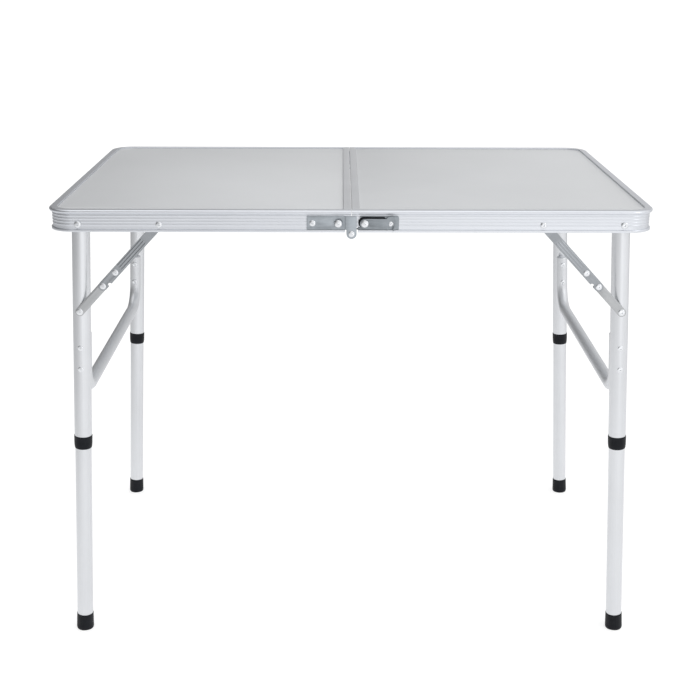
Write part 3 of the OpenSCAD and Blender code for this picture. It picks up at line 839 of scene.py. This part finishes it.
def lower_link():
    """Bar to the leg, notched at the stud so that it locks straight."""
    r = LINK_W / 2 - 0.3
    stud = LINK_U + STUD_S
    end = LINK_U + LINK_L
    notch = finger_notch(r) + [(stud - 4.8, -r + 0.6), (stud - 4.8, -0.8), (stud - 4, 0)]
    notch += arc((stud, 0), 3.4, 180, 0, 12) + [(stud + 3.4, -r + 0.8), (stud + 4.2, -r)]
    outline = arc((LINK_U, 0), r, 90, 270, 16) + notch + arc((end, 0), r, -90, 90, 16)
    bm = sheet_metal([outline, circle((LINK_U, 0), 3.1)], SHEET)
    bm.transform(Matrix.Translation((0, LINK_IN, 0)))
    return on_brace(bm)


def leg_rivet():
    """The brace's lower rivet, which ends just short of the leg tube."""
    bm = bmesh.new()
    seat = LINK_IN + SHEET
    reach = LEG_Y + UPPER_R + 0.3 - seat
    profile = dome_head(5.2, 1.1, 1.4) + [(3, 0), (3, reach), (0, reach)]
    lathe(bm, profile, (LINK_U + LINK_L, seat, 0), (0, 1, 0))
    return on_brace(bm)


def brace_pins():
    """The pin in the middle of the brace and the stud that the lower link's notch meets."""
    bm = bmesh.new()
    seat = LINK_OUT + SHEET
    grip = seat - LINK_IN + 0.3
    rivet(bm, (LINK_U, seat, 0), (0, 1, 0), grip, 4.8, 1.1, 3, (4, 0.9), 1.3)
    stud = dome_head(4.8, 1.1, 1.3) + [(3, 0), (3, -grip), (2.6, -grip - 0.3), (0, -grip - 0.3)]
    lathe(bm, stud, (LINK_U + STUD_S, seat, 0), (0, 1, 0))
    return on_brace(bm)


def brace_pieces():
    for key, (side, quarter) in CORNERS.items():
        # The ribbed link takes the darker aluminium with painted shade; the notched link takes the
        # pale one.
        to_piece(at_quarters(upper_link, [quarter]), "ribbed_link_" + key, "upper_brace_" + key,
                 "link_" + side, ["upper_link_" + key], 28)
        to_piece(at_quarters(brace_pins, [quarter]), "brace_pin_and_stud_" + key,
                 "upper_brace_" + key, "rivet", ["brace_pins_" + key])
        to_piece(at_quarters(lower_link, [quarter]), "notched_link_" + key,
                 "lower_brace_" + key, "pale_link_" + side, ["lower_link_" + key])
        to_piece(at_quarters(leg_rivet, [quarter]), "brace_leg_rivet_" + key,
                 "lower_brace_" + key, "rivet", ["lower_link_" + key])


# ---- plastic parts of the legs ----

def collar():
    """Ring with fine ribs and a tapered lower end, over the end of the upper tube. The ribs also
    wave the hidden step of its bore, which bites about 0.2 mm into the tubes."""
    bm = bmesh.new()
    s, r = COLLAR_S, COLLAR_R
    profile = [(UPPER_R + 0.02, s), (r - 0.4, s), (r - 0.1, s + 0.2), (r, s + 0.7), (r, s + 2),
               (r - 0.02, s + 3), (r - 0.1, s + 10), (r - 0.15, s + 13), (r - 0.2, s + 14),
               (r - 0.22, s + 15), (r - 0.4, s + 17), (r - 0.75, s + 19.8), (r - 1.1, s + 20.7),
               (r - 1.4, s + 21), (LOWER_R + 0.06, s + 21), (LOWER_R + 0.06, s + 12.1),
               (UPPER_R + 0.02, s + 12.1), (UPPER_R + 0.02, s)]
    lathe(bm, profile, on_leg(0, LEG_Y), -LEG_UP, 192, 32, 0.25, (s + 2.5, s + 12.5))
    return bm


def foot_cap():
    """Cup over the end of the lower tube: ribbed, rounded at the floor and cut level."""
    bm = bmesh.new()
    top, end, r = LEG_LEN - FOOT_H, LEG_LEN, FOOT_R
    profile = [(LOWER_R + 0.04, top), (r - 1, top), (r - 0.65, top + 0.3), (r - 0.5, top + 1),
               (r - 0.45, top + 3), (r - 0.43, top + 4), (r - 0.2, end - 12), (r - 0.08, end - 6),
               (r - 0.03, end - 5), (r, end - 3.5), (r - 0.2, end - 1.8), (r - 0.7, end - 0.7),
               (r - 1.5, end), (0, end), (0, end - 4.9), (LOWER_R + 0.04, end - 4.9),
               (LOWER_R + 0.04, top)]
    lathe(bm, profile, on_leg(0, LEG_Y), -LEG_UP, 168, 28, 0.3, (top + 3.5, end - 5.5))
    for vert in bm.verts:
        if (vert.co - on_leg(0, LEG_Y)).dot(-LEG_UP) > LEG_LEN - 0.01:
            vert.co.z = 0.0
        vert.co.z = max(vert.co.z, 0.0)
    return bm


def leg_plug():
    """Plug in the top end of a leg tube, hidden under the top."""
    bm = bmesh.new()
    bore = UPPER_R - TUBE_WALL - 0.05
    profile = [(0, -4.3), (bore - 0.2, -4.3), (bore, -4.6), (bore, -6.5), (UPPER_R, -6.5),
               (UPPER_R, -7.6), (UPPER_R - 0.5, -8), (0, -8)]
    lathe(bm, profile, on_leg(0, LEG_Y), -LEG_UP)
    return bm


def bar_end():
    """Metal cap on the upper end of a spreader bar."""
    bm = bmesh.new()
    r = SPREAD_R
    top = SPREAD_TOP
    profile = [(0, top + 6), (r - 1.25, top + 6), (r - 1.25, top), (r, top), (r, top - 0.8),
               (r - 0.25, top - 1.2), (r - 1, top - 1.5), (0.5 * r, top - 1.7), (0, top - 1.75)]
    lathe(bm, profile, on_leg(0, SPREAD_FACE + r), -LEG_UP)
    return bm


def tube_end_pieces():
    for side, quarters in QUARTERS.items():
        body = side + "_leg_frame"
        to_piece(at_quarters(leg_plug, quarters), "leg_end_plugs_" + side, body,
                 "plastic", ["tube_plugs_" + side])
        to_piece(at_quarters(bar_end, quarters), "spreader_end_caps_" + side, body,
                 "bar", ["tube_plugs_" + side])


def leg_plastic_pieces():
    for key, (side, quarter) in CORNERS.items():
        to_piece(at_quarters(collar, [quarter]), "ribbed_collar_" + key, side + "_leg_frame",
                 "plastic", ["collar_" + key])
        to_piece(at_quarters(foot_cap, [quarter]), "ribbed_foot_" + key, "lower_leg_" + key,
                 "plastic", ["foot_cap_" + key])


# ---- carry handle and latches ----

def sweep(bm, path, sections, steps=28):
    """Rounded bar through the points of a path in the y-z plane, with (wide, deep, squareness)
    at each point, closed at both ends."""
    rings = []
    for i, (point, (wide, deep, power)) in enumerate(zip(path, sections)):
        before = Vector(path[max(i - 1, 0)])
        after = Vector(path[min(i + 1, len(path) - 1)])
        along = (after - before).normalized()
        across = along.cross(Vector((1, 0, 0)))
        ring = []
        for k in range(steps):
            turn = 2 * math.pi * k / steps
            c, d = math.cos(turn), math.sin(turn)
            x = math.copysign(abs(c) ** (2 / power), c) * wide
            y = math.copysign(abs(d) ** (2 / power), d) * deep
            ring.append(bm.verts.new(Vector(point) + Vector((x, 0, 0)) + across * y))
        rings.append(ring)
    for low, high in zip(rings, rings[1:]):
        for k in range(steps):
            j = (k + 1) % steps
            bm.faces.new((low[k], low[j], high[j], high[k]))
    bm.faces.new(reversed(rings[0]))
    bm.faces.new(rings[-1])
    bmesh.ops.recalc_face_normals(bm, faces=bm.faces)


def carry_handle():
    """U-shaped handle: flat arms that run round into a thicker grip."""
    bm = bmesh.new()
    arm_y, drop, bend = 48.6, 27, 9
    x, z = -HANDLE_PIVOT.x, HANDLE_PIVOT.z
    half = [((arm_y, z + 3.2), (2.2, 1.8, 3)), ((arm_y, z + 2.4), (3.2, 2.7, 3)),
            ((arm_y, z), (3.6, 3, 3)), ((arm_y, z - drop + bend), (3.6, 3, 3))]
    for y, height in arc((arm_y - bend, z - drop + bend), bend, -15, -90, 6):
        half.append(((y, height), (4.2, 4.0, 2.4)))
    for i in range(9):
        thick = 5.2 if i % 2 else 4.9
        half.append(((arm_y - bend - 4 - 4 * i, z - drop), (thick, thick, 2)))
    other = [((-y, height), size) for (y, height), size in reversed(half)]
    whole = half + other
    sweep(bm, [(x, y, height) for (y, height), _ in whole], [size for _, size in whole])
    for sign in FRONT_BACK.values():
        start = sign * (arm_y - 1)
        pin = [(0, 0), (2.45, 0), (2.45, 8.6), (2.2, 9), (0, 9)]
        lathe(bm, pin, (x, start, z), (0, sign, 0))
    return bm


def handle_mount():
    """Lug that holds one end of the handle."""
    low, high = box_mm("handle_mounts")
    thickness = 7
    outline = rounded_box(-high.x, low.z, -low.x, high.z, (0.6, 3, 3, 0.6))
    bm = sheet_metal([outline, circle((-HANDLE_PIVOT.x, HANDLE_PIVOT.z), 2.5)], thickness, 0.6)
    bm.transform(Matrix.Translation((0, high.y - thickness, 0)))
    return bm


def latch_hook():
    """Flat hook on its pivot, drawn in x and z, then turned to face along X."""
    low, high = box_mm("latch_hook_back")
    reach = high.y - 6.5 - LATCH_PIVOT.y
    outline = arc((0, 0), 6.5, 50.3, 309.7, 18) + [(reach - 4.2, -5)]
    outline += [(reach - 3.2, -5.7), (reach - 3.2, 0)] + arc((reach, 0), 3.2, 180, 0, 10)
    outline += [(reach + 3.2, -5.6)] + arc((reach, 0), 6.5, -60, 129.7, 16)
    bm = sheet_metal([outline, circle((0, 0), 3.1)], SHEET)
    for vert in bm.verts:
        y, depth, z = vert.co
        vert.co = (low.x + depth, LATCH_PIVOT.y + y, LATCH_PIVOT.z + z)
    bmesh.ops.reverse_faces(bm, faces=bm.faces)
    return bm


def latch_pivot():
    """Pivot of a latch with its ribbed turning knob."""
    bm = bmesh.new()
    low, high = box_mm("latch_pivots")
    long = high.x - low.x
    profile = [(0, 0), (4.7, 0), (5, 0.3), (5, 1.6), (3, 1.6), (3, 4.1), (5.2, 4.1), (6, 4.7),
               (6, 5.4), (6, long - 1.6), (5.7, long - 0.7), (4.8, long - 0.1), (0, long)]
    lathe(bm, profile, (low.x, LATCH_PIVOT.y, LATCH_PIVOT.z), (1, 0, 0), 96, 16, 0.4,
          (5.0, long - 1.0))
    return bm


def latch_stud():
    """Headed stud that a closing hook catches."""
    bm = bmesh.new()
    low, high = box_mm("latch_studs")
    profile = [(0, 0), (4.7, 0), (5, 0.3), (5, 1.6), (3, 1.6), (3, 4.1)]
    head = [(r, along + 4.1) for r, along in reversed(dome_head(5.6, 1.4, 1.5))]
    lathe(bm, profile + head, (-high.x, LATCH_PIVOT.y, (low.z + high.z) / 2), (1, 0, 0))
    return bm


def end_pieces():
    to_piece(at_quarters(carry_handle, [(-1, 1)]), "handle_grip", "carry_handle",
             "plastic", ["carry_handle"])
    to_piece(at_quarters(handle_mount, LEFT), "handle_lugs",
             "left_half", "plastic", ["handle_mounts"])
    to_piece(at_quarters(latch_stud, LEFT), "latch_keeper_studs",
             "left_half", "rivet", ["latch_studs"])
    to_piece(at_quarters(latch_pivot, RIGHT), "latch_pivot_knobs",
             "right_half", "rivet", ["latch_pivots"])
    for word, sign_y in FRONT_BACK.items():
        to_piece(at_quarters(latch_hook, [(1, sign_y)]), "closing_hook_" + word,
                 "latch_hook_" + word, "zinc", ["latch_hook_" + word])


# ---- camera, lights, floor ----

def add_camera():
    """The view: 1.08 m above the floor, a little left of the middle, looking 18 degrees down."""
    pitch, yaw, roll = (math.radians(a) for a in (18.15, 0.428, 0.211))
    ahead = Vector((math.sin(yaw) * math.cos(pitch), math.cos(yaw) * math.cos(pitch),
                    -math.sin(pitch)))
    right = ahead.cross(Vector((0, 0, 1))).normalized()
    up = right.cross(ahead)
    right, up = (math.cos(roll) * right + math.sin(roll) * up,
                 math.cos(roll) * up - math.sin(roll) * right)
    data = bpy.data.cameras.new("camera")
    data.sensor_width = 36
    data.lens = 63.9
    data.clip_start = 0.05
    data.clip_end = 200
    camera = bpy.data.objects.new("camera", data)
    rotation = Matrix((right, up, -ahead)).transposed().to_4x4()
    camera.matrix_world = Matrix.Translation((-0.015, -2.092, 1.081)) @ rotation
    bpy.context.scene.collection.objects.link(camera)
    bpy.context.scene.camera = camera


def add_area_light(name, place, aim, size, power, tint=(1, 1, 1)):
    data = bpy.data.lights.new(name, "AREA")
    data.shape = "RECTANGLE"
    data.size, data.size_y = size
    data.energy = power
    data.color = tint
    light = bpy.data.objects.new(name, data)
    light.location = place
    light.rotation_euler = (Vector(aim) - Vector(place)).to_track_quat("-Z", "Y").to_euler()
    light.visible_camera = False
    bpy.context.scene.collection.objects.link(light)


def graded(tree, value, stops):
    """A ramp of grey levels over a value, as a number. The stops are (value, level)."""
    low, high = stops[0][0], stops[-1][0]
    ramp = add_node(tree, "ShaderNodeValToRGB", None, {"Fac": remap(tree, value, 0, 1, low, high)})
    elements = ramp.color_ramp.elements
    for place, _ in stops[1:-1]:
        elements.new((place - low) / (high - low))
    for element, (place, level) in zip(elements, stops):
        element.position = (place - low) / (high - low)
        element.color = (level, level, level, 1)
    return ramp.outputs["Color"]


def add_world():
    """A studio: darker on the left and behind, bright on the right and overhead. The camera sees
    it white."""
    world = bpy.data.worlds.new("studio")
    bpy.context.scene.world = world
    world.use_nodes = True
    tree = world.node_tree
    background = tree.nodes["Background"]
    background.inputs["Color"].default_value = (1, 1, 1, 1)
    at = xyz(tree, "Generated")
    across = graded(tree, at["X"], ((-1, 0.22), (-0.4, 0.36), (-0.2, 0.60), (-0.02, 0.96),
                                    (0.2, 1.05), (1, 1.10)))
    high_up = graded(tree, at["Z"], ((0, 0.78), (0.15, 0.76), (0.22, 0.62), (0.4, 0.6)))
    behind = mix_value(tree, remap(tree, at["Y"], 0, 1, 0.0, 0.8), 1.0, high_up)
    level = math_node(tree, "MULTIPLY", across, behind)
    above = remap(tree, at["Z"], 0, 1, 0.6, 1.0)
    light = mix_value(tree, above, level, 1.5)
    seen = add_node(tree, "ShaderNodeLightPath").outputs["Is Camera Ray"]
    tree.links.new(mix_value(tree, seen, light, 1.05), background.inputs["Strength"])


def add_floor():
    """White paper. What the metal sees of it is darker on the left and behind the table."""
    reach = 60
    mesh = bpy.data.meshes.new("floor")
    corners = [(-reach, -reach, 0), (reach, -reach, 0), (reach, reach, 0), (-reach, reach, 0)]
    mesh.from_pydata(corners, [], [(0, 1, 2, 3)])
    material, tree, shader = new_material("floor_paper")
    grain = stretched_noise(tree, (3, 3, 3), detail=2)
    color = tinted(tree, grain, (0.36, 0.36, 0.36), (0.38, 0.38, 0.38))
    finish_shader(tree, shader, color, remap(tree, grain, 0.85, 0.95),
                  bump(tree, grain, 0.0001, 0.1), 0.0)
    at = xyz(tree)
    far = graded(tree, at["X"], ((-4, 0.18), (-2.4, 0.34), (-1.05, 0.44), (-0.3, 0.66),
                                 (0.3, 0.82), (0.9, 1.26), (1.6, 0.84), (3, 0.68)))
    near = graded(tree, at["X"], ((-4, 0.18), (-2, 0.38), (-1.2, 0.58), (-0.5, 0.72),
                                  (0.5, 0.72), (1.2, 0.66), (3, 0.60)))
    across = mix_value(tree, remap(tree, at["Y"], 0, 1, -2.8, -1.5), far, near)
    behind = remap(tree, at["Y"], 1, 0.55, 0.3, 1.6)
    seen = add_node(tree, "ShaderNodeLightPath").outputs["Is Camera Ray"]
    glow = mix_value(tree, seen, math_node(tree, "MULTIPLY", across, behind), 0.74)
    shader.inputs["Emission Color"].default_value = (1, 1, 1, 1)
    tree.links.new(glow, shader.inputs["Emission Strength"])
    mesh.materials.append(material)
    floor = bpy.data.objects.new("floor", mesh)
    bpy.context.scene.collection.objects.link(floor)


def add_studio():
    bpy.context.scene.view_settings.view_transform = "Standard"
    add_world()
    add_floor()
    add_area_light("key_right", (2.2, -2.2, 1.8), (0, 0, 0.55), (1.2, 1.2), 7)


add_camera()
add_studio()
dress_cad_parts()
edge_frame_pieces()
hinge_pieces()
rivet_pieces()
brace_pieces()
tube_end_pieces()
leg_plastic_pieces()
end_pieces()
